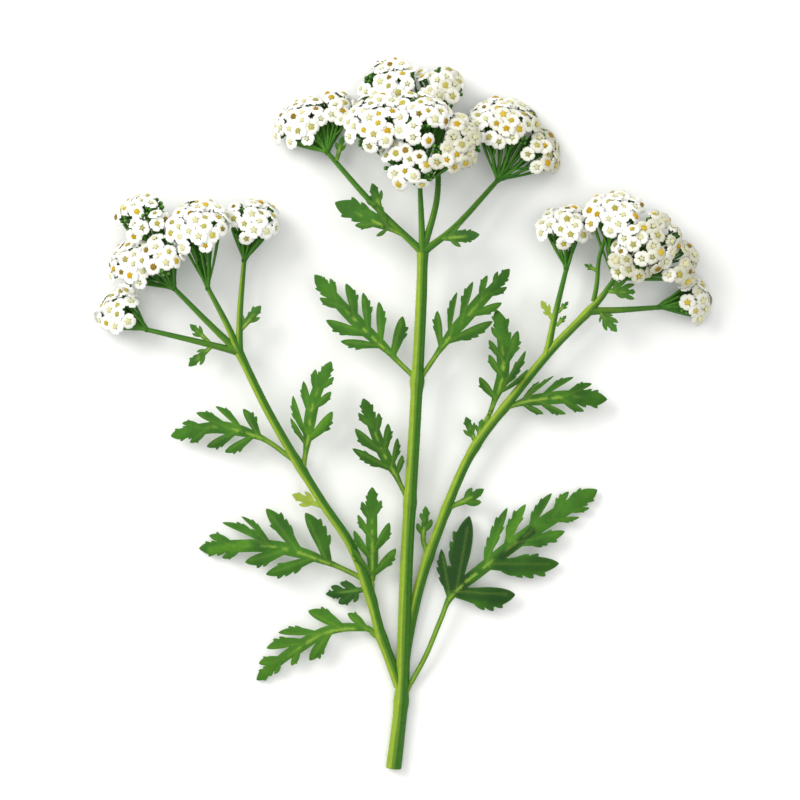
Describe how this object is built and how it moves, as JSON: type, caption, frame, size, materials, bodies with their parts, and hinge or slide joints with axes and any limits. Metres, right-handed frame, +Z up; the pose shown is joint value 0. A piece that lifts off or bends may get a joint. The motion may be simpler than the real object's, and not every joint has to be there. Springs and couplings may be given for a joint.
{
  "type": "yarrow plant",
  "caption": "Cut flowering yarrow lying on a surface: branched green stems, feathery lobed leaves and flat-topped clusters of small white flowers.",
  "frame": {"origin": "on the surface it lies on, under the middle of its outline", "axes": "+Y from the cut end of the stem to the flower heads, +Z up from the surface, +X to the right"},
  "size_m": [0.2343, 0.2708, 0.0405],
  "materials": {
    "stem": "matte",
    "leaf": "matte",
    "dark_leaf": "matte",
    "spray": "matte",
    "florets": "matte"
  },
  "bodies": {
    "root": {"stem": "stem", "leaf_centre_upper_left": "leaf", "leaf_centre_upper_right": "leaf", "leaf_centre_mid_left": "leaf", "leaf_left_upper": "leaf", "leaf_left_inner": "leaf", "leaf_left_large": "leaf", "leaf_left_upright": "leaf", "leaf_left_dark": "dark_leaf", "leaf_left_low": "leaf", "leaf_right_upright": "leaf", "leaf_right_upper": "leaf", "leaf_right_basal": "leaf", "leaf_right_small": "leaf", "leaf_right_inner": "leaf", "spray_centre_left": "spray", "florets_centre_left": "florets", "spray_centre_back": "spray", "florets_centre_back": "florets", "spray_centre_front": "spray", "florets_centre_front": "florets", "spray_centre_right": "spray", "florets_centre_right": "florets", "spray_left_low": "spray", "florets_left_low": "florets", "spray_left_outer": "spray", "florets_left_outer": "florets", "spray_left_inner": "spray", "florets_left_inner": "florets", "spray_left_near": "spray", "florets_left_near": "florets", "spray_right_near": "spray", "florets_right_near": "florets", "spray_right_main": "spray", "florets_right_main": "florets", "spray_right_low": "spray", "florets_right_low": "florets"}
  },
  "joints": []
}
